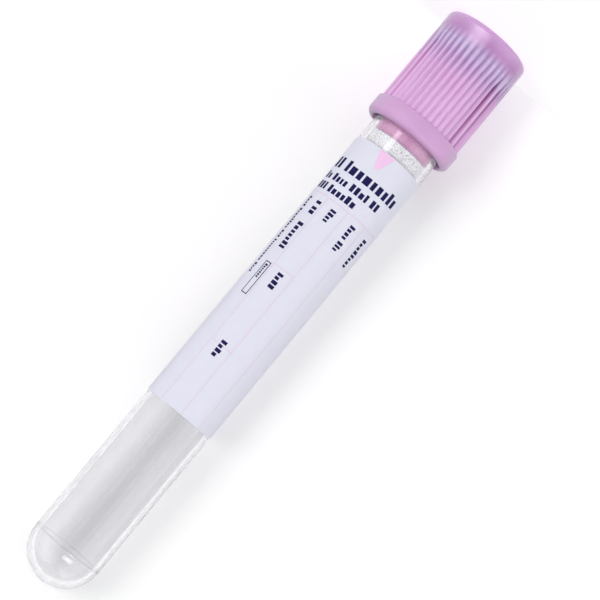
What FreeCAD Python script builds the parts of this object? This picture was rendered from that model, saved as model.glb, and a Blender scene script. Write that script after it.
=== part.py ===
import FreeCAD, Part
import math
import os

import Sketcher

# An evacuated blood collection tube, standing head down on the flat end of its cap, because its other end
# is round and it rolls when it lies.  A clear round-bottomed tube carries a wrap-round label and is closed by
# a rubber stopper, which sits inside a ribbed outer cap.  Every piece is drawn with the outside of the round
# bottom at height 0 and the cap on top, and is then turned over to stand on the cap at the origin.

# Every size that can be chosen by itself, in millimetres and degrees.
SIZES = (
    # The tube
    ("tube_length", 100.0, "outside of the round bottom to the rim"),
    ("tube_radius", 6.5, "outside of the wall"),
    ("tube_wall", 1.0, "thickness of the wall at the rim"),
    ("bottom_wall", 1.2, "thickness at the middle of the round bottom"),
    ("rim_chamfer", 0.2, "chamfers of the rim"),
    ("seam_width", 0.6, "faint raised line that the mould leaves round the wall"),
    ("seam_height", 0.05, "how far that line stands out"),
    ("seam_drop", 0.4, "mouth of the cap's skirt down to the upper line"),
    ("gate_radius", 0.6, "small flat mark at the middle of the round bottom"),
    ("gate_depth", 0.1, "depth of that mark"),
    # The label
    ("label_drop", 10.4, "rim of the tube down to the label"),
    ("label_length", 54.5, "length along the tube"),
    ("label_thickness", 0.1, "thickness of the paper"),
    ("label_glue", 0.02, "thickness of the glue line"),
    ("clear_strip", 5.0, "width left clear between the label's ends"),
    ("label_turn", 48.0, "turn of the label's middle away from the front"),
    # The rubber stopper
    ("plug_length", 7.7, "rim of the tube down to the end of the plug"),
    ("plug_clearance", 0.05, "between the plug and the bore"),
    ("plug_lead", 0.6, "chamfer that leads the plug in"),
    ("plug_hollow_radius", 3.2, "mouth of the hollow in the end of the plug"),
    ("plug_hollow_depth", 2.4, "depth of that hollow"),
    ("head_clearance", 0.05, "between the stopper's head and the cap"),
    ("dish_margin", 0.3, "dish in the stopper's head beyond the needle port"),
    ("dish_depth", 1.2, "depth of the dish at its middle"),
    ("target_radius", 1.1, "spot in the middle of the dish"),
    ("target_depth", 0.3, "depth of that spot"),
    # The outer cap
    ("cap_length", 22.2, "whole length of the cap"),
    ("skirt_overlap", 5.8, "how far the skirt reaches down past the rim"),
    ("skirt_gap", 0.55, "between the tube and the inside of the skirt"),
    ("cap_wall", 0.95, "thickness of the cap's side"),
    ("end_wall", 2.2, "thickness of the cap's end"),
    ("end_round", 0.9, "rounding of the cap's end"),
    ("port_radius", 4.0, "hole in the cap's end for the needle holder"),
    ("port_chamfer", 0.35, "chamfer round that hole"),
    ("flange_lip", 0.42, "how far the flange stands out from the side"),
    ("flange_height", 3.5, "height of the flange"),
    ("flange_round", 1.0, "rounding under the flange"),
    ("flange_bevel", 0.2, "chamfer on top of the flange"),
    ("skirt_lead", 0.25, "chamfer inside the mouth of the skirt"),
    # The finger grooves in the side of the cap
    ("smooth_band", 4.1, "plain band between the grooves and the cap's end"),
    ("groove_angle", 8.9, "angle from one groove to the next"),
    ("groove_count", 11, "grooves in a group, without the deep ones at its edges"),
    ("group_count", 3, "groups of grooves round the cap"),
    ("groove_width", 1.08, "width of a groove at the surface"),
    ("groove_depth", 0.42, "depth of a groove"),
    ("edge_groove_width", 1.3, "width of the groove at each edge of a group"),
    ("edge_groove_depth", 0.6, "depth of that groove"),
    ("groove_runout", 2.8, "length over which a groove fades out at its upper end"),
    ("groove_margin", 0.3, "how far each cutting form stands out of the surface"),
    ("cap_turn", -6.5, "turn of the first group's middle away from the front"),
)

# What follows from those sizes.
DERIVED = (
    ("bore_radius", "Sizes.tube_radius - Sizes.tube_wall"),
    ("bore_bottom", "Sizes.bottom_wall + Fits.bore_radius"),
    ("seam_radius", "Sizes.tube_radius + Sizes.seam_height"),
        ("plug_end", "Sizes.tube_length - Sizes.plug_length"),
    ("plug_radius", "Fits.bore_radius - Sizes.plug_clearance"),
    ("label_top", "Sizes.tube_length - Sizes.label_drop"),
    ("label_bottom", "Fits.label_top - Sizes.label_length"),
    ("label_inside", "Sizes.tube_radius + Sizes.label_glue"),
    ("label_outside", "Fits.label_inside + Sizes.label_thickness"),
    ("label_wrap", "360 - Sizes.clear_strip / Fits.label_inside * 180 / pi"),
    ("skirt_end", "Sizes.tube_length - Sizes.skirt_overlap"),
    ("upper_seam", "Fits.skirt_end - Sizes.seam_drop"),
    ("skirt_inside", "Sizes.tube_radius + Sizes.skirt_gap"),
    ("cap_radius", "Fits.skirt_inside + Sizes.cap_wall"),
    ("flange_radius", "Fits.cap_radius + Sizes.flange_lip"),
    ("flange_top", "Fits.skirt_end + Sizes.flange_height"),
    ("cap_top", "Fits.skirt_end + Sizes.cap_length"),
    ("head_top", "Fits.cap_top - Sizes.end_wall"),
    ("head_radius", "Fits.skirt_inside - Sizes.head_clearance"),
    ("dish_radius", "Sizes.port_radius + Sizes.dish_margin"),
    ("groove_top", "Fits.cap_top - Sizes.smooth_band"),
    ("groove_full", "Fits.groove_top - Sizes.groove_runout"),
    ("group_span", "(Sizes.groove_count + 1) * Sizes.groove_angle"),
)

# The front of the standing tube, as an angle about the axis that every piece is drawn round.
FRONT = "90"

doc = FreeCAD.newDocument("blood_collection_tube")
sheet = doc.addObject("Spreadsheet::Sheet", "Sizes")
for row, (alias, size, meaning) in enumerate(SIZES, start=1):
    sheet.set(f"A{row}", alias)
    sheet.set(f"B{row}", str(size))
    sheet.setAlias(f"B{row}", alias)
    sheet.set(f"C{row}", meaning)
doc.recompute()

fits = doc.addObject("App::VarSet", "Fits")
for name, expression in DERIVED:
    fits.addProperty("App::PropertyFloat", name)
    fits.setExpression(name, expression)
doc.recompute()


def value(expression):
    """The number that an expression gives with the present sizes."""
    return float(sheet.evalExpression(expression))


def new_body(label):
    """An empty body, turned over to stand on the cap with the rest of the tube."""
    body = doc.addObject("PartDesign::Body", label)
    body.Label = label
    body.Placement.Rotation = FreeCAD.Rotation(FreeCAD.Vector(1, 0, 0), 180)
    body.setExpression("Placement.Base.z", "Fits.cap_top")
    return body


def new_sketch(body, name, plane):
    """An empty sketch on one of the body's own planes."""
    sketch = body.newObject("Sketcher::SketchObject", name)
    support = next(feature for feature in body.Origin.OriginFeatures if feature.Role == plane)
    sketch.AttachmentSupport = [(support, "")]
    sketch.MapMode = "FlatFace"
    return sketch


def place(sketch, geometry, end, across, up):
    """Fixes one end of a line or an arc at a distance across and up from the sketch's origin."""
    for kind, distance, axis in (("DistanceX", across, -2), ("DistanceY", up, -1)):
        if distance == "0":
            sketch.addConstraint(Sketcher.Constraint("PointOnObject", geometry, end, axis))
            continue
        fixed = sketch.addConstraint(Sketcher.Constraint(kind, -1, 1, geometry, end, value(distance)))
        sketch.setExpression(f"Constraints[{fixed}]", distance)


def arc_between(start, end, radius, side):
    """The shorter arc of a radius from start to end, its centre on the left (1) or the right (-1)."""
    half = (end - start) / 2
    height = math.sqrt(max(radius**2 - half.Length**2, 0.0))
    left = FreeCAD.Vector(-half.y, half.x, 0).normalize()
    centre = start + half + left * (side * height)
    first, last = (start, end) if side > 0 else (end, start)
    angles = [math.atan2(point.y - centre.y, point.x - centre.x) for point in (first, last)]
    circle = Part.Circle(centre, FreeCAD.Vector(0, 0, 1), radius)
    return Part.ArcOfCircle(circle, *angles)


def draw(sketch, corners):
    """Closes an outline through the corners, each given across and up.

    A third entry is the radius of the arc that leads to the corner, and a fourth the side of its centre.
    """
    points = [FreeCAD.Vector(value(across), value(up), 0) for across, up, *arc in corners]
    ends = []
    for index, (across, up, *arc) in enumerate(corners):
        start, end = points[index - 1], points[index]
        if not arc:
            sketch.addGeometry(Part.LineSegment(start, end), False)
            ends.append((1, 2))
            continue
        radius, side = arc
        sketch.addGeometry(arc_between(start, end, value(radius), side), False)
        ends.append((1, 2) if side > 0 else (2, 1))
    for index, (across, up, *arc) in enumerate(corners):
        following = (index + 1) % len(corners)
        joined = Sketcher.Constraint("Coincident", index, ends[index][1], following, ends[following][0])
        sketch.addConstraint(joined)
        place(sketch, index, ends[index][1], across, up)
        if arc:
            fixed = sketch.addConstraint(Sketcher.Constraint("Radius", index, value(arc[0])))
            sketch.setExpression(f"Constraints[{fixed}]", arc[0])


def turn_solid(body, name, corners):
    """A solid of revolution from half of its section, drawn from the axis outward."""
    sketch = new_sketch(body, f"{name}_section", "XZ_Plane")
    draw(sketch, corners)
    solid = body.newObject("PartDesign::Revolution", name)
    solid.Profile = sketch
    solid.ReferenceAxis = (sketch, ["V_Axis"])
    solid.Angle = 360
    doc.recompute()
    return solid


def circles_at(feature, radius, height):
    """The names of a feature's circular edges of one radius at one height."""
    names = []
    for number, edge in enumerate(feature.Shape.Edges, start=1):
        if edge.Degenerated or not isinstance(edge.Curve, Part.Circle):
            continue
        same_radius = math.isclose(edge.Curve.Radius, value(radius), abs_tol=1e-4)
        if same_radius and math.isclose(edge.Curve.Center.z, value(height), abs_tol=1e-4):
            names.append(f"Edge{number}")
    return names


def dress(body, kind, name, base, circles, size, limit):
    """Rounds or chamfers circular edges, by no more than the wall beside them allows."""
    edges = []
    for radius, height in circles:
        edges += circles_at(base, radius, height)
    feature = body.newObject(f"PartDesign::{kind}", name)
    feature.Base = (base, edges)
    driven = "Radius" if kind == "Fillet" else "Size"
    feature.setExpression(driven, f"min({size}; {limit})")
    doc.recompute()
    return feature


def build_tube():
    """The clear moulded tube, with a round bottom and the faint lines that the mould leaves."""
    body = new_body("tube")
    gate_edge = "Sizes.tube_radius - sqrt(Sizes.tube_radius^2 - Sizes.gate_radius^2)"
    wall = turn_solid(
        body,
        "wall",
        [
            ("0", "Sizes.gate_depth"),
            ("Sizes.gate_radius", "Sizes.gate_depth"),
            ("Sizes.gate_radius", gate_edge),
            ("Sizes.tube_radius", "Sizes.tube_radius", "Sizes.tube_radius", 1),
            ("Fits.seam_radius", "Sizes.tube_radius + Sizes.seam_width / 2"),
            ("Sizes.tube_radius", "Sizes.tube_radius + Sizes.seam_width"),
            ("Sizes.tube_radius", "Fits.upper_seam"),
            ("Fits.seam_radius", "Fits.upper_seam + Sizes.seam_width / 2"),
            ("Sizes.tube_radius", "Fits.upper_seam + Sizes.seam_width"),
            ("Sizes.tube_radius", "Sizes.tube_length"),
            ("Fits.bore_radius", "Sizes.tube_length"),
            ("Fits.bore_radius", "Fits.bore_bottom"),
            ("0", "Sizes.bottom_wall", "Fits.bore_radius", -1),
        ],
    )
    rim = [("Sizes.tube_radius", "Sizes.tube_length"), ("Fits.bore_radius", "Sizes.tube_length")]
    dress(body, "Chamfer", "rim", wall, rim, "Sizes.rim_chamfer", "Sizes.tube_wall * 0.45")
    return body


def build_label():
    """The paper label, wrapped round the wall with a clear strip left between its ends."""
    body = new_body("label")
    sketch = new_sketch(body, "paper_section", "XZ_Plane")
    sketch.AttachmentOffset.Rotation = FreeCAD.Rotation(FreeCAD.Vector(0, 1, 0), 90)
    sketch.setExpression("AttachmentOffset.Rotation.Angle", f"{FRONT} + Sizes.label_turn")
    draw(
        sketch,
        [
            ("Fits.label_inside", "Fits.label_bottom"),
            ("Fits.label_outside", "Fits.label_bottom"),
            ("Fits.label_outside", "Fits.label_top"),
            ("Fits.label_inside", "Fits.label_top"),
        ],
    )
    paper = body.newObject("PartDesign::Revolution", "paper")
    paper.Profile = sketch
    paper.ReferenceAxis = (sketch, ["V_Axis"])
    paper.Midplane = True
    paper.setExpression("Angle", "Fits.label_wrap")
    doc.recompute()
    return body


def build_stopper():
    """The rubber stopper: a plug in the bore under a wide head with a dish for the needle."""
    body = new_body("rubber_stopper")
    plug_lead_radius = "Fits.plug_radius - Sizes.plug_lead"
    turn_solid(
        body,
        "rubber",
        [
            ("0", "Fits.plug_end + Sizes.plug_hollow_depth"),
            ("Sizes.plug_hollow_radius", "Fits.plug_end"),
            (plug_lead_radius, "Fits.plug_end"),
            ("Fits.plug_radius", "Fits.plug_end + Sizes.plug_lead"),
            ("Fits.plug_radius", "Sizes.tube_length"),
            ("Fits.head_radius", "Sizes.tube_length"),
            ("Fits.head_radius", "Fits.head_top"),
            ("Fits.dish_radius", "Fits.head_top"),
            ("Sizes.target_radius", "Fits.head_top - Sizes.dish_depth"),
            ("Sizes.target_radius", "Fits.head_top - Sizes.dish_depth - Sizes.target_depth"),
            ("0", "Fits.head_top - Sizes.dish_depth - Sizes.target_depth"),
        ],
    )
    return body


def groove_section(body, name, width, depth, height, shift):
    """A V section of one groove, square to the cap's axis and shifted outward."""
    sketch = new_sketch(body, name, "XY_Plane")
    sketch.AttachmentOffset.Rotation = FreeCAD.Rotation(FreeCAD.Vector(0, 0, 1), 90)
    sketch.setExpression("AttachmentOffset.Base.z", height)
    half_width = f"{width} / 2 * ({depth} + Sizes.groove_margin) / {depth}"
    outer = f"Fits.cap_radius + Sizes.groove_margin + {shift}"
    draw(
        sketch,
        [
            (f"Fits.cap_radius - {depth} + {shift}", "0"),
            (outer, f"-{half_width}"),
            (outer, half_width),
        ],
    )
    return sketch


def cut_groove(body, name, width, depth, turn):
    """One upright finger groove, full from the flange up and fading out at its upper end."""
    heights = (("Fits.flange_top", "0"), ("Fits.groove_full", "0"))
    runout = ("Fits.groove_top", f"({depth} + Sizes.groove_margin)")
    sections = []
    for number, (height, shift) in enumerate(heights + (runout,), start=1):
        section = groove_section(body, f"{name}_{number}", width, depth, height, shift)
        section.setExpression("AttachmentOffset.Rotation.Angle", f"{FRONT} + Sizes.cap_turn + {turn}")
        sections.append(section)
    groove = body.newObject("PartDesign::SubtractiveLoft", name)
    groove.Profile = sections[0]
    groove.Sections = sections[1:]
    groove.Ruled = True
    doc.recompute()
    return groove


def turn_copies(body, name, count, angle):
    """One step of a pattern: copies turned about the cap's axis."""
    copies = body.newObject("PartDesign::PolarPattern", name)
    axis = next(feature for feature in body.Origin.OriginFeatures if feature.Role == "Z_Axis")
    copies.Axis = (axis, [""])
    copies.setExpression("Occurrences", count)
    copies.setExpression("Angle", angle)
    return copies


def repeat_groove(body, name, groove, count, angle):
    """Repeats a groove within its group, and the group round the cap."""
    pattern = body.newObject("PartDesign::MultiTransform", name)
    pattern.Originals = [groove]
    in_group = turn_copies(body, f"{name}_in_group", count, angle)
    groups = turn_copies(body, f"{name}_groups", "Sizes.group_count", "360")
    pattern.Transformations = [in_group, groups]
    body.Tip = pattern
    doc.recompute()
    return pattern


def build_cap():
    """The outer cap: an open skirt with a flange, groups of finger grooves and a port in its end."""
    body = new_body("outer_cap")
    shell = turn_solid(
        body,
        "shell",
        [
            ("Fits.skirt_inside", "Fits.skirt_end"),
            ("Fits.flange_radius", "Fits.skirt_end"),
            ("Fits.flange_radius", "Fits.flange_top"),
            ("Fits.cap_radius", "Fits.flange_top"),
            ("Fits.cap_radius", "Fits.cap_top"),
            ("Sizes.port_radius", "Fits.cap_top"),
            ("Sizes.port_radius", "Fits.head_top"),
            ("Fits.skirt_inside", "Fits.head_top"),
        ],
    )
    edge = [("Fits.flange_radius", "Fits.skirt_end")]
    feature = dress(body, "Fillet", "under_flange", shell, edge, "Sizes.flange_round", "Sizes.cap_wall * 1.2")
    edge = [("Fits.flange_radius", "Fits.flange_top")]
    limit = "Sizes.flange_lip * 0.8"
    feature = dress(body, "Chamfer", "over_flange", feature, edge, "Sizes.flange_bevel", limit)
    edge = [("Fits.cap_radius", "Fits.cap_top")]
    feature = dress(body, "Fillet", "end_edge", feature, edge, "Sizes.end_round", "Sizes.end_wall * 0.9")
    edge = [("Sizes.port_radius", "Fits.cap_top")]
    feature = dress(body, "Chamfer", "port_edge", feature, edge, "Sizes.port_chamfer", "Sizes.end_wall * 0.4")
    edge = [("Fits.skirt_inside", "Fits.skirt_end")]
    dress(body, "Chamfer", "skirt_mouth", feature, edge, "Sizes.skirt_lead", "Sizes.cap_wall * 0.4")

    first = "-Fits.group_span / 2"
    groove = cut_groove(
        body, "groove", "Sizes.groove_width", "Sizes.groove_depth", f"({first} + Sizes.groove_angle)"
    )
    inner_span = "Fits.group_span - 2 * Sizes.groove_angle"
    repeat_groove(body, "grooves", groove, "Sizes.groove_count", inner_span)
    edge_groove = cut_groove(body, "edge_groove", "Sizes.edge_groove_width", "Sizes.edge_groove_depth", first)
    repeat_groove(body, "edge_grooves", edge_groove, "2", "Fits.group_span")
    return body


bodies = [build_tube(), build_label(), build_stopper(), build_cap()]
doc.recompute()

for part in doc.Objects:
    if "Invalid" in part.State or "Error" in part.State:
        raise RuntimeError(f"{part.Name} failed: {part.State}")
for body in bodies:
    if body.Shape.isNull() or not body.Shape.isValid() or len(body.Shape.Solids) != 1:
        raise RuntimeError(f"{body.Label} is not one valid solid")

os.makedirs("parts", exist_ok=True)
for body in bodies:
    body.Shape.exportStep(f"parts/{body.Label}.step")
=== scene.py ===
import math
import random

import bmesh
import bpy
from mathutils import Matrix, Vector


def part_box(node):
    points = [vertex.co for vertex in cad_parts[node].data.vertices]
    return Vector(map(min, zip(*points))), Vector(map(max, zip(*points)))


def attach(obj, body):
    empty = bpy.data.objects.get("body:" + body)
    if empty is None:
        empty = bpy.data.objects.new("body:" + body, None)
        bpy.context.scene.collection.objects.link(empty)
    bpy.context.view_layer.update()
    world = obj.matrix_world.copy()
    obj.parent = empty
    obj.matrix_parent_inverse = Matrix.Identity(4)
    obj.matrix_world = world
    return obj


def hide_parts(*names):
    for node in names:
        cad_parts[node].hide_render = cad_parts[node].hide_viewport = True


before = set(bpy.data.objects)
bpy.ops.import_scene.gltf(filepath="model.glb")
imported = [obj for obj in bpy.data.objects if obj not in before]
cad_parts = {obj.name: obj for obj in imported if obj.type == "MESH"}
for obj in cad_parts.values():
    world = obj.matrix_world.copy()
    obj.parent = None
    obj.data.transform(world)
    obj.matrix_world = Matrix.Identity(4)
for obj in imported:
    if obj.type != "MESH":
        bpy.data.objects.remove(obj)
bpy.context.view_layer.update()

MM = 0.001


# ---------------------------------------------------------------------------------------------------------
# The tube: clear PET, injection moulded over a core, with a round bottom.  The two halves of the mould leave
# a faint raised line where the bottom meets the wall and another next to the cap.

def linear(red, green, blue):
    """A colour written in screen values from 0 to 255, as the linear colour that the shaders take."""
    def channel(level):
        share = level / 255
        return share / 12.92 if share <= 0.04045 else ((share + 0.055) / 1.055) ** 2.4
    return channel(red), channel(green), channel(blue), 1.0


def quarter(centre_across, centre_up, radius, start, end, steps):
    """Points (across, up) on a round stretch of a section, from one angle to another in degrees."""
    points = []
    for step in range(steps + 1):
        angle = math.radians(start + (end - start) * step / steps)
        points.append((centre_across + radius * math.cos(angle), centre_up + radius * math.sin(angle)))
    return points


def turned(name, section, segments):
    """A piece of revolution round +Z from a closed section, whose points on the axis close to a pole."""
    mesh = bpy.data.meshes.new(name)
    shape = bmesh.new()
    rings = []
    for across, up in section:
        if across < 1e-7:
            rings.append([shape.verts.new((0, 0, up))])
            continue
        ring = []
        for segment in range(segments):
            angle = 2 * math.pi * segment / segments
            ring.append(shape.verts.new((across * math.cos(angle), across * math.sin(angle), up)))
        rings.append(ring)
    for here, there in zip(rings, rings[1:] + rings[:1]):
        if len(here) == 1 and len(there) == 1:
            continue
        for segment in range(segments):
            following = (segment + 1) % segments
            corners = [here[segment % len(here)], here[following % len(here)]]
            corners += [there[following % len(there)], there[segment % len(there)]]
            shape.faces.new(list(dict.fromkeys(corners)))
    bmesh.ops.recalc_face_normals(shape, faces=shape.faces)
    for face in shape.faces:
        face.smooth = True
    shape.to_mesh(mesh)
    shape.free()
    piece = bpy.data.objects.new(name, mesh)
    bpy.context.scene.collection.objects.link(piece)
    return piece


def sharpen(piece, angle):
    """Keeps the edges sharper than an angle in degrees as crisp edges."""
    piece.data.set_sharp_from_angle(angle=math.radians(angle))


tube_low, tube_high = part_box("tube")
cap_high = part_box("outer_cap")[1]

SEAM_HEIGHT = 0.05 * MM
SEAM_WIDTH = 0.6 * MM
WALL = 1.0 * MM
BOTTOM_WALL = 1.2 * MM
GATE_RADIUS = 0.6 * MM
GATE_DEPTH = 0.1 * MM
RIM_CHAMFER = 0.2 * MM
SEAM_DROP = 0.4 * MM
TUBE_SEGMENTS = 240
ROUND_STEPS = 40
CREASE = 35

tube_radius = tube_high.x - SEAM_HEIGHT
bore_radius = tube_radius - WALL
dome_level = tube_high.z - math.sqrt(tube_radius ** 2 - GATE_RADIUS ** 2)
tube_end = dome_level + tube_radius
bore_level = tube_end - BOTTOM_WALL - bore_radius
gate_angle = math.degrees(math.acos(GATE_RADIUS / tube_radius))


def mould_line(level):
    """The low rounded ridge that the mould leaves round the wall, from its lower edge up."""
    ridge = []
    for share, lift in ((0, 0), (0.35, 0.1), (0.45, 0.6), (0.5, 1.0), (0.55, 0.6), (0.65, 0.1), (1, 0)):
        ridge.append((tube_radius + SEAM_HEIGHT * lift, level + SEAM_WIDTH * share))
    return ridge


tube_section = [(bore_radius + RIM_CHAMFER, tube_low.z), (tube_radius - RIM_CHAMFER, tube_low.z)]
tube_section += [(tube_radius, tube_low.z + RIM_CHAMFER)]
upper_seam = cap_high.z + SEAM_DROP - SEAM_WIDTH
lower_seam = dome_level - SEAM_WIDTH
tube_section += mould_line(upper_seam)
tube_section += mould_line(lower_seam)
tube_section += quarter(0, dome_level, tube_radius, 0, gate_angle, ROUND_STEPS)[1:]
tube_section += [(GATE_RADIUS, tube_end - GATE_DEPTH), (0, tube_end - GATE_DEPTH)]
tube_section += quarter(0, bore_level, bore_radius, 90, 0, ROUND_STEPS)
tube_section += [(bore_radius, tube_low.z + RIM_CHAMFER)]
tube = turned("clear_tube", tube_section, TUBE_SEGMENTS)
sharpen(tube, CREASE)


def new_material(name):
    """A material with only its Principled shader, and that shader."""
    material = bpy.data.materials.new(name)
    material.use_nodes = True
    shader = material.node_tree.nodes["Principled BSDF"]
    return material, shader


def calculated(tree, operation, *sources):
    """A calculation on numbers or sockets, in the tree of a material, the world or a shape."""
    step = tree.nodes.new("ShaderNodeMath")
    step.operation = operation
    for socket, source in zip(step.inputs, sources):
        if isinstance(source, (int, float)):
            socket.default_value = source
        else:
            tree.links.new(source, socket)
    return step.outputs["Value"]


def grain_group():
    """The soft uneven grain of moulded, printed and sprayed surfaces.  Scale is in features per metre."""
    group = bpy.data.node_groups.new("surface_grain", "ShaderNodeTree")
    group.interface.new_socket("Scale", in_out="INPUT", socket_type="NodeSocketFloat")
    group.interface.new_socket("Detail", in_out="INPUT", socket_type="NodeSocketFloat")
    group.interface.new_socket("Stretch", in_out="INPUT", socket_type="NodeSocketVector")
    group.interface.new_socket("Grain", in_out="OUTPUT", socket_type="NodeSocketFloat")
    nodes, links = group.nodes, group.links
    inside, outside = nodes.new("NodeGroupInput"), nodes.new("NodeGroupOutput")
    mapping = nodes.new("ShaderNodeMapping")
    noise = nodes.new("ShaderNodeTexNoise")
    links.new(nodes.new("ShaderNodeTexCoord").outputs["Object"], mapping.inputs["Vector"])
    links.new(inside.outputs["Stretch"], mapping.inputs["Scale"])
    links.new(mapping.outputs["Vector"], noise.inputs["Vector"])
    links.new(inside.outputs["Scale"], noise.inputs["Scale"])
    links.new(inside.outputs["Detail"], noise.inputs["Detail"])
    links.new(noise.outputs["Fac"], outside.inputs["Grain"])
    return group


surface_grain = grain_group()


def grained(material, scale, detail, stretch=(1.0, 1.0, 1.0)):
    """The grain, placed in a material with its own values.  A stretch below one draws it out on that axis."""
    grain = material.node_tree.nodes.new("ShaderNodeGroup")
    grain.node_tree = surface_grain
    grain.inputs["Scale"].default_value = scale
    grain.inputs["Detail"].default_value = detail
    grain.inputs["Stretch"].default_value = stretch
    return grain.outputs["Grain"]


def graded(material, factor, low, high, from_low=0.0, from_high=1.0):
    """A number that goes from low to high as the factor crosses a range."""
    grade = material.node_tree.nodes.new("ShaderNodeMapRange")
    grade.inputs["From Min"].default_value = from_low
    grade.inputs["From Max"].default_value = from_high
    grade.inputs["To Min"].default_value = low
    grade.inputs["To Max"].default_value = high
    material.node_tree.links.new(factor, grade.inputs["Value"])
    return grade.outputs["Result"]


def separated(material):
    """The three coordinates of a point on a piece."""
    nodes, links = material.node_tree.nodes, material.node_tree.links
    split = nodes.new("ShaderNodeSeparateXYZ")
    links.new(nodes.new("ShaderNodeTexCoord").outputs["Object"], split.inputs["Vector"])
    return split.outputs


def blend(material, factor, first, second):
    """Goes from the first colour to the second by a factor.  Either may be a fixed colour or a socket."""
    mix = material.node_tree.nodes.new("ShaderNodeMix")
    mix.data_type = "RGBA"
    material.node_tree.links.new(factor, mix.inputs["Factor"])
    for name, colour in (("A", first), ("B", second)):
        if isinstance(colour, tuple):
            mix.inputs[name].default_value = colour
        else:
            material.node_tree.links.new(colour, mix.inputs[name])
    return mix.outputs["Result"]


def lamps_pass(material, shader, head_on, grazing):
    """Lets the light of the lamps through a clear piece, so that what is inside it is lit."""
    nodes, links = material.node_tree.nodes, material.node_tree.links
    path = nodes.new("ShaderNodeLightPath")
    clear = nodes.new("ShaderNodeBsdfTransparent")
    slant = nodes.new("ShaderNodeLayerWeight")
    links.new(blend(material, slant.outputs["Facing"], head_on, grazing), clear.inputs["Color"])
    mix = nodes.new("ShaderNodeMixShader")
    links.new(path.outputs["Is Shadow Ray"], mix.inputs["Fac"])
    links.new(shader.outputs["BSDF"], mix.inputs[1])
    links.new(clear.outputs["BSDF"], mix.inputs[2])
    links.new(mix.outputs["Shader"], nodes["Material Output"].inputs["Surface"])


# The plastic is nearly colourless and a little grey where one looks along the wall, with painted shade as
# thin grey lines along the mould lines.  Fine scuffs run along the tube.
CLEAR_TINT = linear(253, 253, 255)
SEAM_SHADE_TINT = linear(222, 223, 227)
WALL_TINT = linear(240, 240, 245)
LAMP_TINT_HEAD_ON = linear(252, 252, 253)
LAMP_TINT_GRAZING = linear(168, 170, 176)
SEAM_SHADE_REACH = 0.06 * MM

clear_plastic, shader = new_material("clear_plastic")
shader.inputs["Transmission Weight"].default_value = 0.94
shader.inputs["IOR"].default_value = 1.57
level = separated(clear_plastic)["Z"]
glass_tint = CLEAR_TINT
# Painted shade: a thin grey line along each mould line.
for seam_from in (upper_seam, lower_seam):
    seam_middle = seam_from + SEAM_WIDTH / 2
    on_seam = calculated(clear_plastic.node_tree, "COMPARE", level, seam_middle, SEAM_SHADE_REACH)
    glass_tint = blend(clear_plastic, on_seam, glass_tint, SEAM_SHADE_TINT)
slant = clear_plastic.node_tree.nodes.new("ShaderNodeLayerWeight")
through_wall = graded(clear_plastic, slant.outputs["Facing"], 0.0, 1.0, 0.42, 0.6)
glass_tint = blend(clear_plastic, through_wall, glass_tint, WALL_TINT)
clear_plastic.node_tree.links.new(glass_tint, shader.inputs["Base Color"])
scuffs = grained(clear_plastic, scale=260, detail=4.0, stretch=(1.0, 1.0, 0.12))
scuffed = graded(clear_plastic, scuffs, 0.01, 0.03, 0.4, 0.75)
clear_plastic.node_tree.links.new(scuffed, shader.inputs["Roughness"])
lamps_pass(clear_plastic, shader, LAMP_TINT_HEAD_ON, LAMP_TINT_GRAZING)
tube.data.materials.append(clear_plastic)

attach(tube, "tube_body")
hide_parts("tube")


# ---------------------------------------------------------------------------------------------------------
# The label: a satin film paper wrapped round the wall with a narrow strip left clear between its ends.
# It is glued on, stands 0.12 mm proud of the wall and has clean cut edges.

GLUE_LINE = 0.02 * MM
LABEL_THICKNESS = 0.1 * MM
CLEAR_STRIP = 5.0 * MM
LABEL_TURN = 48.0
LABEL_STEPS = 150
PAPER_TINT = linear(225, 225, 240)
FIBRE_TINT = linear(231, 231, 245)

label_low, label_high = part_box("label")
label_inside = tube_radius + GLUE_LINE
label_outside = label_inside + LABEL_THICKNESS
label_wrap = 2 * math.pi - CLEAR_STRIP / label_inside


def round_tube(radius, turn, level):
    """A point on a cylinder round the tube.  The turn in degrees is from the front toward -X."""
    angle = math.radians(turn)
    return Vector((-radius * math.sin(angle), -radius * math.cos(angle), level))


label_mesh = bpy.data.meshes.new("paper_label")
sheet = bmesh.new()
columns = []
for step in range(LABEL_STEPS + 1):
    turn = LABEL_TURN + math.degrees(label_wrap) * (step / LABEL_STEPS - 0.5)
    corners = [(label_inside, label_low.z), (label_outside, label_low.z)]
    corners += [(label_outside, label_high.z), (label_inside, label_high.z)]
    columns.append([sheet.verts.new(round_tube(radius, turn, level)) for radius, level in corners])
for here, there in zip(columns, columns[1:]):
    for corner in range(4):
        following = (corner + 1) % 4
        sheet.faces.new((here[corner], here[following], there[following], there[corner]))
sheet.faces.new(columns[0])
sheet.faces.new(list(reversed(columns[-1])))
bmesh.ops.recalc_face_normals(sheet, faces=sheet.faces)
for face in sheet.faces:
    face.smooth = True
sheet.to_mesh(label_mesh)
sheet.free()
label = bpy.data.objects.new("paper_label", label_mesh)
bpy.context.scene.collection.objects.link(label)
sharpen(label, CREASE)


def bumped(material, shader, height, distance, strength):
    """Lifts the surface by a height map."""
    bump = material.node_tree.nodes.new("ShaderNodeBump")
    bump.inputs["Distance"].default_value = distance
    bump.inputs["Strength"].default_value = strength
    material.node_tree.links.new(height, bump.inputs["Height"])
    material.node_tree.links.new(bump.outputs["Normal"], shader.inputs["Normal"])


label_paper, shader = new_material("label_paper")
shader.inputs["Roughness"].default_value = 0.6
fibres = grained(label_paper, scale=900, detail=4.0, stretch=(1.0, 1.0, 0.5))
paper_tint = blend(label_paper, fibres, PAPER_TINT, FIBRE_TINT)
label_paper.node_tree.links.new(paper_tint, shader.inputs["Base Color"])
bumped(label_paper, shader, fibres, distance=0.01 * MM, strength=0.4)
label.data.materials.append(label_paper)

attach(label, "tube_body")
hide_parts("label")


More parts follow.
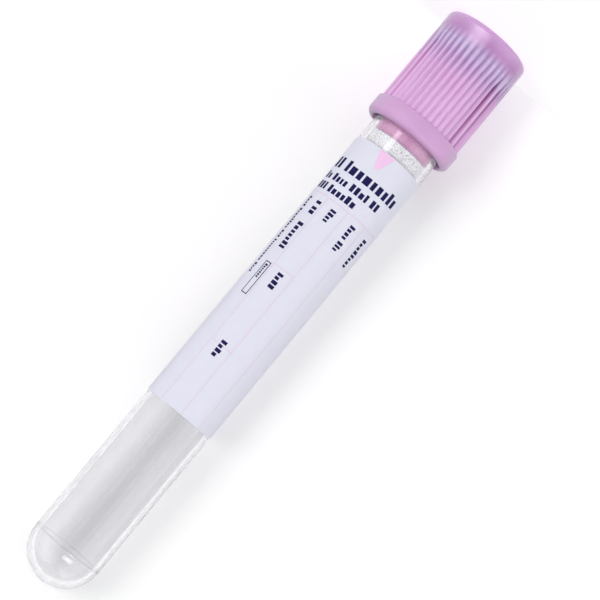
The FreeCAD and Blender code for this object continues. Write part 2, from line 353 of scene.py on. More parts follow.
# ---------------------------------------------------------------------------------------------------------
# The print: navy and pale pink ink on the label.  Plain blocks stand in rows where words would be, and fine
# pink rules divide the label into fields to write in.  It is drawn flat and then wrapped round the label.

INK_LIFT = 0.015 * MM
INK_STEP = 0.25 * MM


def ink_patch(flat, edges, drop_from, drop_to):
    """A patch of ink between two drops from the label's top.  edges are its left and right at each end."""
    (left_from, right_from), (left_to, right_to) = edges
    slant = max(abs(left_to - left_from), abs(right_to - right_from))
    across = max(1, math.ceil(max(right_from - left_from, right_to - left_to) / INK_STEP))
    down = max(1, math.ceil(slant / INK_STEP))
    rows = []
    for line in range(down + 1):
        share = line / down
        left = left_from + (left_to - left_from) * share
        right = right_from + (right_to - right_from) * share
        drop = drop_from + (drop_to - drop_from) * share
        places = [left + (right - left) * step / across for step in range(across + 1)]
        rows.append([flat.verts.new((place, -drop, 0)) for place in places])
    for here, there in zip(rows, rows[1:]):
        for step in range(across):
            flat.faces.new((there[step], there[step + 1], here[step + 1], here[step]))


def block(flat, left, right, drop_from, drop_to):
    """A plain rectangle of ink."""
    ink_patch(flat, ((left, right), (left, right)), drop_from, drop_to)


def arc_length(turn):
    """Distance round the label from the front, for a turn in degrees."""
    return math.radians(turn) * label_outside


def new_tree(name, numbers, finish):
    """A tree that takes a shape, these named numbers and a material, and gives back a shape."""
    tree = bpy.data.node_groups.new(name, "GeometryNodeTree")
    tree.interface.new_socket("Geometry", in_out="INPUT", socket_type="NodeSocketGeometry")
    for number in numbers:
        tree.interface.new_socket(number, in_out="INPUT", socket_type="NodeSocketFloat")
    tree.interface.new_socket(finish, in_out="INPUT", socket_type="NodeSocketMaterial")
    tree.interface.new_socket("Geometry", in_out="OUTPUT", socket_type="NodeSocketGeometry")
    return tree, tree.nodes.new("NodeGroupInput").outputs


def end_tree(tree, shape, finish):
    """The end of a tree: what it placed is made real and gets its material."""
    realize = tree.nodes.new("GeometryNodeRealizeInstances")
    paint = tree.nodes.new("GeometryNodeSetMaterial")
    result = tree.nodes.new("NodeGroupOutput")
    tree.links.new(shape, realize.inputs["Geometry"])
    tree.links.new(realize.outputs["Geometry"], paint.inputs["Geometry"])
    tree.links.new(finish, paint.inputs["Material"])
    tree.links.new(paint.outputs["Geometry"], result.inputs["Geometry"])


def split_position(tree):
    """The three coordinates of each point of the shape."""
    split = tree.nodes.new("ShaderNodeSeparateXYZ")
    tree.links.new(tree.nodes.new("GeometryNodeInputPosition").outputs["Position"], split.inputs["Vector"])
    return split.outputs["X"], split.outputs["Y"], split.outputs["Z"]


def wrap_tree():
    """Bends a flat drawing round the label: X runs round the tube and Y along it, down from the top."""
    tree, given = new_tree("wrap_round_label", ("Radius", "Top"), "Ink")
    flat_x, flat_y, _ = split_position(tree)
    turn = calculated(tree, "DIVIDE", flat_x, given["Radius"])
    inward = calculated(tree, "MULTIPLY", given["Radius"], -1.0)
    join = tree.nodes.new("ShaderNodeCombineXYZ")
    across = calculated(tree, "MULTIPLY", calculated(tree, "SINE", turn), inward)
    tree.links.new(across, join.inputs["X"])
    depth = calculated(tree, "MULTIPLY", calculated(tree, "COSINE", turn), inward)
    tree.links.new(depth, join.inputs["Y"])
    level = calculated(tree, "SUBTRACT", given["Top"], flat_y)
    tree.links.new(level, join.inputs["Z"])
    bend = tree.nodes.new("GeometryNodeSetPosition")
    tree.links.new(given["Geometry"], bend.inputs["Geometry"])
    tree.links.new(join.outputs["Vector"], bend.inputs["Position"])
    end_tree(tree, bend.outputs["Geometry"], given["Ink"])
    return tree


def run_tree(piece, tree, **values):
    """Runs a tree on a piece with these inputs and keeps the result as its plain mesh."""
    modifier = piece.modifiers.new(tree.name, "NODES")
    modifier.node_group = tree
    for socket in tree.interface.items_tree:
        if socket.in_out == "INPUT" and socket.name in values:
            modifier[socket.identifier] = values[socket.name]
    bpy.context.view_layer.update()
    evaluated = piece.evaluated_get(bpy.context.evaluated_depsgraph_get())
    result = bpy.data.meshes.new_from_object(evaluated)
    piece.modifiers.remove(modifier)
    piece.data = result


def printed(name, flat, ink):
    """The finished print of one ink, wrapped round the label and riding with it."""
    drawing = bpy.data.meshes.new(name)
    flat.to_mesh(drawing)
    flat.free()
    piece = bpy.data.objects.new(name, drawing)
    bpy.context.scene.collection.objects.link(piece)
    run_tree(piece, label_wrap_tree, Radius=label_outside + INK_LIFT, Top=label_low.z, Ink=ink)
    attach(piece, "tube_body")


label_wrap_tree = wrap_tree()
label_length = label_high.z - label_low.z


def ink(name, colour):
    """A printing ink, a little uneven where it lies on the paper."""
    material, shader = new_material(name)
    shader.inputs["Roughness"].default_value = 0.6
    shader.inputs["Specular IOR Level"].default_value = 0.2
    cover = grained(material, scale=1500, detail=3.0)
    thinner = tuple(min(1.0, level * 1.15 + 0.004) for level in colour[:3]) + (1.0,)
    material.node_tree.links.new(blend(material, cover, colour, thinner), shader.inputs["Base Color"])
    return material


# The pink ink: rules between the fields, the filling mark at the label's top and the band at its long edge.
RULE = 0.16 * MM
RULE_MARGIN = 0.2 * MM
HEADING_DEPTH = 11.6 * MM
FIELD_TURNS = (-72.0, -35.0, 2.0, 37.0, 73.0)
FIELD_DROPS = (25.6 * MM, 41.5 * MM)
MARK_TURN = -7.0
MARK_FROM, MARK_TO = 0.05 * MM, 3.3 * MM
MARK_WIDE, MARK_NARROW = 1.55 * MM, 0.4 * MM
BAND_TURNS = (-108.0, -90.0)
BAND_MARGIN = 0.3 * MM

flat = bmesh.new()
for turn in FIELD_TURNS:
    middle = arc_length(turn)
    block(flat, middle - RULE / 2, middle + RULE / 2, HEADING_DEPTH, label_length - RULE_MARGIN)
block(flat, arc_length(FIELD_TURNS[0]), arc_length(FIELD_TURNS[-1]), HEADING_DEPTH, HEADING_DEPTH + RULE)
for drop in FIELD_DROPS:
    block(flat, arc_length(FIELD_TURNS[1]), arc_length(FIELD_TURNS[2]), drop, drop + RULE)
printed("label_rules", flat, ink("pale_pink_ink", linear(224, 206, 226)))

flat = bmesh.new()
mark = arc_length(MARK_TURN)
mark_edges = ((mark - MARK_WIDE, mark + MARK_WIDE), (mark - MARK_NARROW, mark + MARK_NARROW))
ink_patch(flat, mark_edges, MARK_FROM, MARK_TO)
block(flat, arc_length(BAND_TURNS[0]), arc_length(BAND_TURNS[1]), BAND_MARGIN, label_length - BAND_MARGIN)
printed("label_mark", flat, ink("pink_ink", linear(244, 200, 236)))


# The navy ink: rows of plain blocks of the size of letters.  A row runs round the tube in the heading and
# along the tube in the fields.  Widths, gaps and the low blocks are shares of a row's height.
NARROWEST, WIDEST = 0.34, 0.62
LOW_BLOCK = 0.72
BLOCK_GAP, WORD_GAP = 0.2, 0.4


def block_row(flat, start, base, height, words, along):
    """One row of blocks on a base line.  words gives how many blocks stand in each word."""
    place = start
    for count in words:
        for number in range(count):
            width = height * block_sizes.uniform(NARROWEST, WIDEST)
            tall = height * (1.0 if number == 0 else block_sizes.choice((LOW_BLOCK, LOW_BLOCK, 1.0)))
            if along:
                block(flat, base, base + tall, place, place + width)
            else:
                block(flat, place, place + width, base - tall, base)
            place += width + height * BLOCK_GAP
        place += height * WORD_GAP


# Each row: where it starts, its base line, the height of its blocks and how many blocks each word has.
# Places round the label are turns in degrees, and the others are millimetres from the label's top.
HEADING_ROWS = (
    (-76, 6.5, 2.1, (2, 9)),
    (-76, 8.8, 1.4, (2, 4, 4, 2)),
    (-76, 10.9, 1.4, (3, 6)),
)
FIELD_ROWS = (
    (13.0, -48, 1.1, (1, 2)),
    (17.6, -50, 1.3, (7,)),
    (12.9, -71, 0.8, (4, 8, 3, 9, 4)),
    (12.9, -20, 1.1, (4,)),
    (26.4, -20, 1.1, (4,)),
    (40.7, -20, 1.1, (4,)),
    (12.9, 17, 1.1, (4, 3)),
    (13.1, 50, 1.1, (8,)),
)
FRAME_TURNS = (-50.0, -38.0)
FRAME_FROM, FRAME_TO = 26.0 * MM, 32.6 * MM
FRAME_ROW_START, FRAME_ROW_BASE, FRAME_ROW_HEIGHT = 0.5 * MM, 0.4 * MM, 0.6 * MM
FRAME_WORDS = (7,)

block_sizes = random.Random(7)
flat = bmesh.new()
for turn, drop, height, words in HEADING_ROWS:
    block_row(flat, arc_length(turn), drop * MM, height * MM, words, False)
for drop, turn, height, words in FIELD_ROWS:
    block_row(flat, drop * MM, arc_length(turn), height * MM, words, True)
frame_left, frame_right = arc_length(FRAME_TURNS[0]), arc_length(FRAME_TURNS[1])
for edge in (frame_left, frame_right - RULE):
    block(flat, edge, edge + RULE, FRAME_FROM, FRAME_TO)
for edge in (FRAME_FROM, FRAME_TO - RULE):
    block(flat, frame_left + RULE, frame_right - RULE, edge, edge + RULE)
row_start, row_base = FRAME_FROM + FRAME_ROW_START, frame_left + FRAME_ROW_BASE
block_row(flat, row_start, row_base, FRAME_ROW_HEIGHT, FRAME_WORDS, True)
printed("label_print", flat, ink("navy_ink", linear(12, 4, 70)))


# ---------------------------------------------------------------------------------------------------------
# The dried additive: fine droplets sprayed on the inside of the wall, which dry to pale specks in a cloudy
# film.  They lie thick next to the stopper and thin out under the label.

SPECK = 0.05 * MM
SPECK_DEPTH = 0.01 * MM
FILM_THICKNESS = 0.01 * MM
FILM_GAP = 0.004 * MM
FILM_START = 0.1 * MM
SPRAY_START = 0.15 * MM
SPRAY_END = 45 * MM
THICK_SPRAY, THIN_SPRAY = 6e6, 0.8e6
SPRAY_SEED, SPECK_SEED = 11, 3
SMALLEST_SPECK, LARGEST_SPECK = (0.5, 0.5, 0.25), (1.6, 1.6, 0.5)
BAND_STEP = 5
FILM_SEGMENTS = 160
POWDER_TINT, GRAIN_TINT = linear(232, 232, 234), linear(255, 255, 255)

stopper_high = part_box("rubber_stopper")[1]
thick_end = label_low.z + 1.0 * MM


def additive_tree():
    """Scatters flattened specks over a band of the bore."""
    tree, given = new_tree("sprayed_additive", ("Density", "Speck"), "Powder")
    nodes, links = tree.nodes, tree.links
    scatter = nodes.new("GeometryNodeDistributePointsOnFaces")
    scatter.inputs["Seed"].default_value = SPRAY_SEED
    links.new(given["Geometry"], scatter.inputs["Mesh"])
    links.new(given["Density"], scatter.inputs["Density"])
    speck = nodes.new("GeometryNodeMeshIcoSphere")
    links.new(given["Speck"], speck.inputs["Radius"])
    size = nodes.new("FunctionNodeRandomValue")
    size.data_type = "FLOAT_VECTOR"
    size.inputs["Min"].default_value = SMALLEST_SPECK
    size.inputs["Max"].default_value = LARGEST_SPECK
    size.inputs["Seed"].default_value = SPECK_SEED
    instances = nodes.new("GeometryNodeInstanceOnPoints")
    links.new(scatter.outputs["Points"], instances.inputs["Points"])
    links.new(speck.outputs["Mesh"], instances.inputs["Instance"])
    links.new(scatter.outputs["Rotation"], instances.inputs["Rotation"])
    links.new(size.outputs["Value"], instances.inputs["Scale"])
    end_tree(tree, instances.outputs["Instances"], given["Powder"])
    return tree


powder, shader = new_material("dried_additive")
shader.inputs["Roughness"].default_value = 0.7
powder_tint = blend(powder, grained(powder, scale=1200, detail=1.0), POWDER_TINT, GRAIN_TINT)
powder.node_tree.links.new(powder_tint, shader.inputs["Base Color"])

film, shader = new_material("additive_film")
nodes, links = film.node_tree.nodes, film.node_tree.links
shader.inputs["Base Color"].default_value = linear(250, 250, 252)
shader.inputs["Roughness"].default_value = 0.8
crystals = nodes.new("ShaderNodeTexNoise")
crystals.inputs["Scale"].default_value = 5200
links.new(nodes.new("ShaderNodeTexCoord").outputs["Object"], crystals.inputs["Vector"])
patches = graded(film, crystals.outputs["Fac"], 0.0, 1.0, 0.3, 0.47)
thickness = graded(film, separated(film)["Z"], 1.0, 0.1, thick_end, SPRAY_END)
clear = nodes.new("ShaderNodeBsdfTransparent")
mix = nodes.new("ShaderNodeMixShader")
links.new(calculated(film.node_tree, "MULTIPLY", patches, thickness), mix.inputs["Fac"])
links.new(clear.outputs["BSDF"], mix.inputs[1])
links.new(shader.outputs["BSDF"], mix.inputs[2])
links.new(mix.outputs["Shader"], nodes["Material Output"].inputs["Surface"])

film_outside = bore_radius - FILM_GAP
film_inside = film_outside - FILM_THICKNESS
film_low = stopper_high.z + FILM_START
film_section = [(film_inside, film_low), (film_outside, film_low)]
film_section += quarter(0, bore_level, film_outside, 0, 90, ROUND_STEPS)
film_section += quarter(0, bore_level, film_inside, 90, 0, ROUND_STEPS)
coating = turned("additive_film", film_section, FILM_SEGMENTS)
sharpen(coating, CREASE)
coating.data.materials.append(film)
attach(coating, "tube_body")

spray_bands = ((stopper_high.z + SPRAY_START, thick_end, THICK_SPRAY), (thick_end, SPRAY_END, THIN_SPRAY))
spray_tree = additive_tree()
for number, (low, high, density) in enumerate(spray_bands, start=1):
    band = bmesh.new()
    rings = []
    for level in (low, high):
        places = [round_tube(bore_radius - SPECK_DEPTH, turn, level) for turn in range(0, 360, BAND_STEP)]
        rings.append([band.verts.new(place) for place in places])
    for segment in range(len(rings[0])):
        following = (segment + 1) % len(rings[0])
        band.faces.new((rings[0][segment], rings[0][following], rings[1][following], rings[1][segment]))
    bore_band = bpy.data.meshes.new(f"dried_additive_{number}")
    band.to_mesh(bore_band)
    band.free()
    additive = bpy.data.objects.new(f"dried_additive_{number}", bore_band)
    bpy.context.scene.collection.objects.link(additive)
    run_tree(additive, spray_tree, Density=density, Speck=SPECK, Powder=powder)
    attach(additive, "tube_body")


# ---------------------------------------------------------------------------------------------------------
# The stopper: moulded pink butyl rubber with a dull bloom.  The solid of the frame has its true shape, so it
# only gets its finish.

RUBBER_TINT, BLOOM_TINT = linear(212, 122, 184), linear(224, 148, 202)

stopper_rubber, shader = new_material("stopper_rubber")
shader.inputs["Roughness"].default_value = 0.55
shader.inputs["Subsurface Weight"].default_value = 0.15
shader.inputs["Subsurface Radius"].default_value = (1.0, 0.4, 0.7)
shader.inputs["Subsurface Scale"].default_value = 0.8 * MM
bloom = grained(stopper_rubber, scale=500, detail=5.0)
rubber_tint = blend(stopper_rubber, bloom, RUBBER_TINT, BLOOM_TINT)
stopper_rubber.node_tree.links.new(rubber_tint, shader.inputs["Base Color"])
bumped(stopper_rubber, shader, bloom, distance=0.02 * MM, strength=0.6)
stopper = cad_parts["rubber_stopper"]
stopper.data.materials.clear()
stopper.data.materials.append(stopper_rubber)


# ---------------------------------------------------------------------------------------------------------
# The cap: one moulding of soft pink plastic that lets light in a little way.  Three groups of finger grooves
# run along its side from the flange and fade out at the plain band by its closed end.

SKIRT_GAP = 0.55 * MM
CAP_WALL = 0.95 * MM
END_WALL = 2.2 * MM
END_ROUND = 0.9 * MM
PORT_RADIUS = 4.0 * MM
PORT_CHAMFER = 0.35 * MM
FLANGE_LIP = 0.42 * MM
FLANGE_HEIGHT = 3.5 * MM
FLANGE_ROUND = 1.0 * MM
FLANGE_BEVEL = 0.2 * MM
SKIRT_LEAD = 0.25 * MM
SMOOTH_BAND = 4.1 * MM
GROOVE_RUNOUT = 2.8 * MM
GROOVE_ANGLE = math.radians(8.9)
GROOVES_ASIDE = 6
GROUP_COUNT = 3
GROOVE_DEPTH, GROOVE_WIDTH = 0.42 * MM, 1.08 * MM
EDGE_DEPTH, EDGE_WIDTH = 0.6 * MM, 1.3 * MM
GROOVE_ROUNDING = 0.12 * MM
CAP_TURN = math.radians(-6.5)
CAP_SEGMENTS = 1080
CORNER_STEPS = 10
FADE_ROWS, PLAIN_ROWS = 24, 3
FADE_MARGIN = 0.6 * MM
CAP_CREASE = 50
TOUCH = 0.01 * MM

skirt_inside = tube_radius + SKIRT_GAP
cap_radius = skirt_inside + CAP_WALL
flange_radius = cap_radius + FLANGE_LIP
mouth, shoulder = cap_high.z, cap_high.z - FLANGE_HEIGHT
groove_full = SMOOTH_BAND + GROOVE_RUNOUT
rows_end = groove_full + FADE_MARGIN

cap_section = [(PORT_RADIUS + PORT_CHAMFER, 0.0)]
cap_section += quarter(cap_radius - END_ROUND, END_ROUND, END_ROUND, -90, 0, CORNER_STEPS)
for row in range(1, FADE_ROWS):
    cap_section.append((cap_radius, END_ROUND + (rows_end - END_ROUND) * row / FADE_ROWS))
for row in range(PLAIN_ROWS + 1):
    cap_section.append((cap_radius, rows_end + (shoulder - rows_end) * row / PLAIN_ROWS))
cap_section += [(flange_radius - FLANGE_BEVEL, shoulder), (flange_radius, shoulder + FLANGE_BEVEL)]
cap_section += quarter(flange_radius - FLANGE_ROUND, mouth - FLANGE_ROUND, FLANGE_ROUND, 0, 90, CORNER_STEPS)
cap_section += [(skirt_inside + SKIRT_LEAD, mouth), (skirt_inside, mouth - SKIRT_LEAD)]
cap_section += [(skirt_inside, END_WALL), (PORT_RADIUS, END_WALL), (PORT_RADIUS, PORT_CHAMFER)]
cap = turned("ribbed_cap", cap_section, CAP_SEGMENTS)


def groove_tree():
    """Presses the groups of grooves into the side of the plain turned cap."""
    places = ("Side Radius", "Group Turn", "Groove Angle", "Outer Groove", "Fade From", "Fade To", "Side End")
    sizes = ("Depth", "Width", "Edge Depth", "Edge Width", "Rounding")
    tree, size = new_tree("finger_grooves", places + sizes, "Plastic")
    nodes, links = tree.nodes, tree.links

    def calculate(operation, *sources):
        return calculated(tree, operation, *sources)

    # Where each point is: its distance from the axis, its turn from the group's middle, and how far it lies
    # aside from the nearest groove.
    across, depth_in, level = split_position(tree)
    across_squared = calculate("MULTIPLY", across, across)
    distance = calculate("SQRT", calculate("ADD", across_squared, calculate("MULTIPLY", depth_in, depth_in)))
    turn = calculate("ARCTAN2", calculate("MULTIPLY", across, -1.0), calculate("MULTIPLY", depth_in, -1.0))
    half_sector = math.pi / GROUP_COUNT
    in_group = calculate("WRAP", calculate("SUBTRACT", turn, size["Group Turn"]), half_sector, -half_sector)
    nearest = calculate("ROUND", calculate("DIVIDE", in_group, size["Groove Angle"]))
    last = size["Outer Groove"]
    nearest = calculate("MAXIMUM", calculate("MINIMUM", nearest, last), calculate("MULTIPLY", last, -1.0))
    aside = calculate("SUBTRACT", in_group, calculate("MULTIPLY", nearest, size["Groove Angle"]))
    aside = calculate("MULTIPLY", calculate("ABSOLUTE", aside), size["Side Radius"])

    # A group's outer grooves are deeper and wider.  Each groove is a V with a rounded bottom and rounded
    # edges, and fades out at the plain band.
    is_edge = calculate("GREATER_THAN", calculate("ABSOLUTE", nearest), calculate("SUBTRACT", last, 0.5))
    not_edge = calculate("SUBTRACT", 1.0, is_edge)
    inner_depth = calculate("MULTIPLY", size["Depth"], not_edge)
    depth = calculate("MULTIPLY_ADD", size["Edge Depth"], is_edge, inner_depth)
    inner_width = calculate("MULTIPLY", size["Width"], not_edge)
    width = calculate("MULTIPLY_ADD", size["Edge Width"], is_edge, inner_width)
    fade = nodes.new("ShaderNodeMapRange")
    links.new(level, fade.inputs["Value"])
    links.new(size["Fade From"], fade.inputs["From Min"])
    links.new(size["Fade To"], fade.inputs["From Max"])
    bottom = calculate("MULTIPLY", depth, fade.outputs["Result"])
    slope = calculate("DIVIDE", calculate("MULTIPLY", aside, 2.0), calculate("DIVIDE", width, depth))
    cut = calculate("SUBTRACT", bottom, slope)
    cut = calculate("SMOOTH_MAX", cut, 0.0, size["Rounding"])
    rounded_bottom = calculate("SUBTRACT", bottom, calculate("MULTIPLY", size["Rounding"], 0.3))
    cut = calculate("MAXIMUM", calculate("MINIMUM", cut, rounded_bottom), 0.0)

    # Only the points of the cap's side below the flange move.
    past_inside = calculate("GREATER_THAN", distance, calculate("SUBTRACT", size["Side Radius"], TOUCH))
    within_side = calculate("LESS_THAN", distance, calculate("ADD", size["Side Radius"], TOUCH))
    below_flange = calculate("LESS_THAN", level, calculate("ADD", size["Side End"], TOUCH / 10))
    on_side = calculate("MULTIPLY", calculate("MULTIPLY", past_inside, below_flange), within_side)
    cut = calculate("MULTIPLY", cut, on_side)

    # The finish reads how deep in a groove a point is, whether that groove is an outer one, and how far it
    # is from the groove's middle, and from these paints shade into the grooves and highlights on the ridges.
    shape = size["Geometry"]
    depth_share = calculate("DIVIDE", cut, depth)
    edge_cut = calculate("MULTIPLY", depth_share, is_edge)
    from_groove = calculate("DIVIDE", aside, calculate("MULTIPLY", size["Groove Angle"], size["Side Radius"]))
    for name, value in (("groove", depth_share), ("edge_groove", edge_cut), ("from_groove", from_groove)):
        store = nodes.new("GeometryNodeStoreNamedAttribute")
        store.inputs["Name"].default_value = name
        links.new(shape, store.inputs["Geometry"])
        links.new(value, store.inputs["Value"])
        shape = store.outputs["Geometry"]

    # The cut moves the points straight toward the axis.
    inward = calculate("DIVIDE", cut, calculate("MULTIPLY", distance, -1.0))
    flat_position = nodes.new("ShaderNodeCombineXYZ")
    links.new(across, flat_position.inputs["X"])
    links.new(depth_in, flat_position.inputs["Y"])
    offset = nodes.new("ShaderNodeVectorMath")
    offset.operation = "SCALE"
    links.new(flat_position.outputs["Vector"], offset.inputs[0])
    links.new(inward, offset.inputs["Scale"])
    press = nodes.new("GeometryNodeSetPosition")
    links.new(shape, press.inputs["Geometry"])
    links.new(offset.outputs["Vector"], press.inputs["Offset"])
    end_tree(tree, press.outputs["Geometry"], size["Plastic"])
    return tree


# The plastic is deeper pink on the glossier plain band.  Painted light lies on its colour: a painted
# highlight on the rounded rim, painted bluish shade over the end wall with painted pale highlights on the
# ridges between the grooves, painted shade deep in the grooves and darker still in the outer ones, a little
# painted shade on the flange, and painted shade where the surface turns away from view.  Each zone fades
# between two levels.
PINK, CLOUD = linear(228, 182, 228), linear(234, 190, 234)
FLANGE_SHADE_TINT = linear(216, 170, 216)
BLUISH_SHADE_TINT, RIDGE_HIGHLIGHT_TINT = linear(166, 134, 192), linear(214, 194, 228)
BAND_TINT, RIM_HIGHLIGHT_TINT = linear(192, 142, 198), linear(212, 170, 216)
GROOVE_SHADE_TINT, GROOVE_SHADE_END_TINT = linear(188, 130, 190), linear(152, 120, 182)
EDGE_SHADE_TINT, EDGE_SHADE_END_TINT = linear(168, 86, 156), linear(120, 74, 144)
SLANT_SHADE_TINT = linear(190, 164, 200)
RIM_HIGHLIGHT_ZONE = (0.6 * MM, 2.4 * MM)
BAND_ZONE = (2.6 * MM, 4.4 * MM)
GLOSS_ZONE = (3.2 * MM, 5.0 * MM)
BLUISH_SHADE_ZONE = (5.0 * MM, 10.0 * MM)
GROOVE_SHADE_ZONE = (7.0 * MM, 15.0 * MM)
EDGE_SHADE_ZONE = (9.0 * MM, 16.0 * MM)
FLANGE_SHADE_ZONE = (shoulder - 0.3 * MM, shoulder)


def stored(material, name):
    """A number that the piece's own tree stored on its points."""
    attribute = material.node_tree.nodes.new("ShaderNodeAttribute")
    attribute.attribute_name = name
    return attribute.outputs["Fac"]


cap_plastic, shader = new_material("cap_plastic")
shader.inputs["Subsurface Weight"].default_value = 0.35
shader.inputs["Subsurface Radius"].default_value = (1.0, 0.55, 0.95)
shader.inputs["Subsurface Scale"].default_value = 0.9 * MM
level = separated(cap_plastic)["Z"]
gloss = graded(cap_plastic, level, 0.18, 0.34, *GLOSS_ZONE)
cap_plastic.node_tree.links.new(gloss, shader.inputs["Roughness"])

cap_tint = blend(cap_plastic, grained(cap_plastic, scale=220, detail=3.0), PINK, CLOUD)
# Painted shade: the flange is a little darker to offset the light it catches.
flange_shade_share = graded(cap_plastic, level, 0.0, 1.0, *FLANGE_SHADE_ZONE)
cap_tint = blend(cap_plastic, flange_shade_share, cap_tint, FLANGE_SHADE_TINT)
# Painted bluish shade over the end wall, with painted pale highlights on the ridges between the grooves.
ridge_highlight_share = graded(cap_plastic, stored(cap_plastic, "from_groove"), 0.0, 1.0, 0.08, 0.42)
bluish_shade_share = graded(cap_plastic, level, 1.0, 0.0, *BLUISH_SHADE_ZONE)
cap_tint = blend(cap_plastic, bluish_shade_share, cap_tint, blend(cap_plastic, ridge_highlight_share, BLUISH_SHADE_TINT, RIDGE_HIGHLIGHT_TINT))
cap_tint = blend(cap_plastic, graded(cap_plastic, level, 1.0, 0.0, *BAND_ZONE), cap_tint, BAND_TINT)
# Painted highlight on the rounded rim at the closed end.
cap_tint = blend(cap_plastic, graded(cap_plastic, level, 1.0, 0.0, *RIM_HIGHLIGHT_ZONE), cap_tint, RIM_HIGHLIGHT_TINT)

# Painted shade deep in the grooves, bluer over the end wall.
groove_shade_share = graded(cap_plastic, stored(cap_plastic, "groove"), 0.0, 0.8)
groove_shade_fade = graded(cap_plastic, level, 1.0, 0.3, *GROOVE_SHADE_ZONE)
groove_shade_share = calculated(cap_plastic.node_tree, "MULTIPLY", groove_shade_share, groove_shade_fade)
groove_shade_tint = blend(cap_plastic, bluish_shade_share, GROOVE_SHADE_TINT, GROOVE_SHADE_END_TINT)
cap_tint = blend(cap_plastic, groove_shade_share, cap_tint, groove_shade_tint)
# Painted shade, darker still, in the outer grooves of each group.
edge_shade_share = graded(cap_plastic, stored(cap_plastic, "edge_groove"), 0.0, 0.85, 0.1, 0.6)
edge_shade_fade = graded(cap_plastic, level, 1.0, 0.6, *EDGE_SHADE_ZONE)
edge_shade_share = calculated(cap_plastic.node_tree, "MULTIPLY", edge_shade_share, edge_shade_fade)
edge_shade_tint = blend(cap_plastic, bluish_shade_share, EDGE_SHADE_TINT, EDGE_SHADE_END_TINT)
cap_tint = blend(cap_plastic, edge_shade_share, cap_tint, edge_shade_tint)

# Painted shade where the cap's surface turns away from view.
slant = cap_plastic.node_tree.nodes.new("ShaderNodeLayerWeight")
slant_shade_share = graded(cap_plastic, slant.outputs["Facing"], 0.0, 0.8, 0.4, 0.85)
cap_tint = blend(cap_plastic, slant_shade_share, cap_tint, SLANT_SHADE_TINT)
cap_plastic.node_tree.links.new(cap_tint, shader.inputs["Base Color"])
skin = grained(cap_plastic, scale=2600, detail=3.0)
bumped(cap_plastic, shader, skin, distance=0.004 * MM, strength=0.3)

groove_sizes = {
    "Side Radius": cap_radius,
    "Group Turn": CAP_TURN,
    "Groove Angle": GROOVE_ANGLE,
    "Outer Groove": float(GROOVES_ASIDE),
    "Fade From": SMOOTH_BAND,
    "Fade To": groove_full,
    "Side End": shoulder,
    "Depth": GROOVE_DEPTH,
    "Width": GROOVE_WIDTH,
    "Edge Depth": EDGE_DEPTH,
    "Edge Width": EDGE_WIDTH,
    "Rounding": GROOVE_ROUNDING,
    "Plastic": cap_plastic,
}
run_tree(cap, groove_tree(), **groove_sizes)
sharpen(cap, CAP_CREASE)
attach(cap, "closure")
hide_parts("outer_cap")


# ---------------------------------------------------------------------------------------------------------
# The bench: a pale floor under the cap and a sheet of white card that stands close behind the tube and leans
# a little away from it.  The card shows from its front only, so the tube can be looked at from behind.

FLOOR_SIZE, CARD_SIZE = 1.6, 1.2
CARD_LEAN = math.radians(2.5)
CARD_GAP = 0.3 * MM
WHITE = (1.0, 1.0, 1.0, 1.0)


def white_stage(name, glow, foot_lift, lift, one_sided):
    """A white surface that keeps the tube's shadow.  It glows a little and looks lighter still by its lift,
    which changes over the height of the cap from the card's foot up."""
    material, shader = new_material(name)
    shader.inputs["Base Color"].default_value = (0.95, 0.95, 0.95, 1.0)
    shader.inputs["Roughness"].default_value = 0.9
    shader.inputs["Specular IOR Level"].default_value = 0.0
    shader.inputs["Emission Color"].default_value = WHITE
    tree = material.node_tree
    rays = tree.nodes.new("ShaderNodeLightPath").outputs
    seen = calculated(tree, "MAXIMUM", rays["Is Camera Ray"], rays["Is Transmission Ray"])
    seen = calculated(tree, "MAXIMUM", seen, rays["Is Glossy Ray"])
    up_card = separated(material)["Y"]
    lifted = graded(material, up_card, foot_lift, lift, -dome_level, cap_high.z - dome_level)
    strength = calculated(tree, "MULTIPLY_ADD", seen, lifted, glow)
    tree.links.new(strength, shader.inputs["Emission Strength"])
    if one_sided:
        clear = tree.nodes.new("ShaderNodeBsdfTransparent")
        side = tree.nodes.new("ShaderNodeNewGeometry")
        from_front = calculated(tree, "SUBTRACT", 1.0, side.outputs["Backfacing"])
        mix = tree.nodes.new("ShaderNodeMixShader")
        tree.links.new(calculated(tree, "MULTIPLY", seen, from_front), mix.inputs["Fac"])
        tree.links.new(clear.outputs["BSDF"], mix.inputs[1])
        tree.links.new(shader.outputs["BSDF"], mix.inputs[2])
        tree.links.new(mix.outputs["Shader"], tree.nodes["Material Output"].inputs["Surface"])
    return material


def stage_plane(name, size, material):
    """A flat square with its front toward +Z, which is part of the stage."""
    mesh = bpy.data.meshes.new(name)
    half = size / 2
    corners = [(-half, -half, 0), (half, -half, 0), (half, half, 0), (-half, half, 0)]
    mesh.from_pydata(corners, [], [(0, 1, 2, 3)])
    mesh.materials.append(material)
    plane = bpy.data.objects.new(name, mesh)
    bpy.context.scene.collection.objects.link(plane)
    return plane


pale_floor = white_stage("pale_floor", glow=0.3, foot_lift=0.18, lift=0.18, one_sided=False)
floor = stage_plane("floor", FLOOR_SIZE, pale_floor)
floor.visible_glossy = False
pale_card = white_stage("pale_card", glow=0.0, foot_lift=0.3, lift=0.16, one_sided=True)
card = stage_plane("white_card", CARD_SIZE, pale_card)
card_front = Vector((0, -math.cos(CARD_LEAN), -math.sin(CARD_LEAN)))
card_touch = Vector((0, 0, dome_level)) - card_front * (tube_radius + CARD_GAP)
card.matrix_world = Matrix.Translation(card_touch) @ card_front.to_track_quat("Z", "Y").to_matrix().to_4x4()


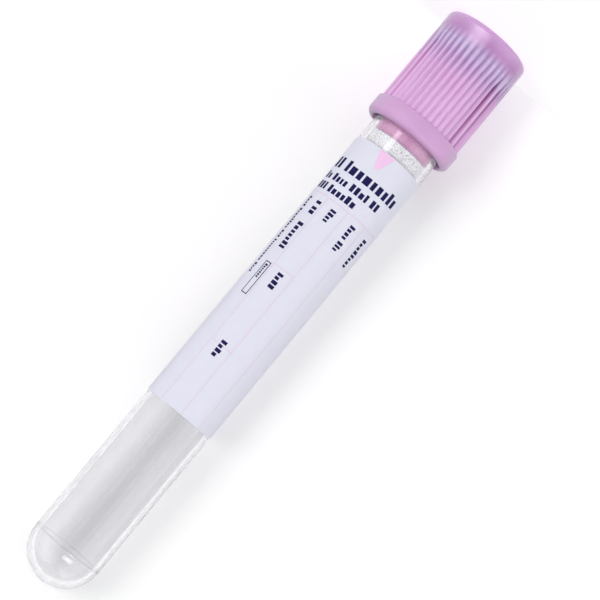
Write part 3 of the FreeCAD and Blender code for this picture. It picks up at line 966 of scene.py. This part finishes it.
# The light: a large soft box on the +X side of the front, a weaker one on the other side, a faint one behind
# and an even pale room.  Panels and small shines show only as reflections.  Each is a nest of lamps, one a
# little behind the other, so that its edges are soft.
def soft_box(name, place, aim, width, height, power):
    """A rectangular lamp turned toward a point."""
    light = bpy.data.lights.new(name, "AREA")
    light.shape = "RECTANGLE"
    light.size, light.size_y = width, height
    light.energy = power
    lamp = bpy.data.objects.new(name, light)
    bpy.context.scene.collection.objects.link(lamp)
    direction = Vector(aim) - Vector(place)
    lamp.matrix_world = Matrix.Translation(place) @ direction.to_track_quat("-Z", "Y").to_matrix().to_4x4()
    return lamp


TUBE_MIDDLE = (0, 0, 0.058)
SET_BACK = 0.01

key = soft_box("key_light", (0.83, -1.3, 0.163), TUBE_MIDDLE, width=0.75, height=1.0, power=13.2)
fill = soft_box("fill_light", (-1.55, -0.4, 0.213), TUBE_MIDDLE, width=1.25, height=1.25, power=9.4)
back = soft_box("back_light", (0.0, 0.6, 0.35), TUBE_MIDDLE, width=0.5, height=0.5, power=0.5)
for light in (key, fill, back):
    light.visible_glossy = False
    light.visible_transmission = False

# Each nest: how many lamps, the place and aim, the width that every lamp adds, a height and what every lamp
# adds to it, and the watts per square metre.
NESTS = (
    ("band_shine", 3, (0.263, -0.54, -0.158), (0, 0, 0), 0.22, 0.04, 0.0, 17.0),
    ("left_panel", 2, (0.43, -0.42, 0.4), (0, 0, 0.4), 0.55, 1.6, 0.0, 2.1),
    ("right_panel", 2, (-0.52, -0.30, 0.4), (0, 0, 0.4), 0.5, 1.6, 0.0, 2.2),
    ("glint", 2, (0.30, -0.52, -0.08), (0, 0, 0.02), 0.1, 0.05, 0.015, 8.0),
    ("dome_shine", 2, (-0.18, -0.44, 0.26), (0, 0, dome_level), 0.15, 0.0, 0.06, 13.0),
)
shines = []
for name, count, place, aim, width, height, taller, strength in NESTS:
    for step in range(1, count + 1):
        across, up = width * step, height + taller * step
        stand = Vector(place) * (1 + SET_BACK * step)
        shines.append(soft_box(f"{name}_{step}", stand, aim, across, up, strength * across * up))
for light in shines:
    light.visible_diffuse = False
    light.visible_transmission = False

world = bpy.data.worlds.new("pale_room")
world.use_nodes = True
nodes, links = world.node_tree.nodes, world.node_tree.links
room = nodes["Background"]
room.inputs["Color"].default_value = WHITE
room.inputs["Strength"].default_value = 0.4
seen_white = nodes.new("ShaderNodeBackground")
seen_white.inputs["Color"].default_value = WHITE
rays = nodes.new("ShaderNodeLightPath").outputs
mix = nodes.new("ShaderNodeMixShader")
seen = calculated(world.node_tree, "MAXIMUM", rays["Is Camera Ray"], rays["Is Transmission Ray"])
links.new(seen, mix.inputs["Fac"])
links.new(room.outputs["Background"], mix.inputs[1])
links.new(seen_white.outputs["Background"], mix.inputs[2])
links.new(mix.outputs["Shader"], nodes["World Output"].inputs["Surface"])
bpy.context.scene.world = world
bpy.context.scene.view_settings.view_transform = "Standard"


# The camera: level with the label, in front, and turned so that the cap points to the upper right.
lens = bpy.data.cameras.new("camera")
lens.lens = 126.0
lens.sensor_width = 36.0
lens.clip_start = 0.01
camera = bpy.data.objects.new("camera", lens)
bpy.context.scene.collection.objects.link(camera)
camera_right = Vector((-0.76905, -0.06546, -0.63566))
camera_up = Vector((0.63895, -0.06368, -0.76647))
camera_back = camera_right.cross(camera_up)
camera_place = Vector((0, -346.85 * MM, 85.62 * MM))
turned_view = Matrix((camera_right, camera_up, camera_back)).transposed().to_4x4()
camera.matrix_world = Matrix.Translation(camera_place) @ turned_view
bpy.context.scene.camera = camera
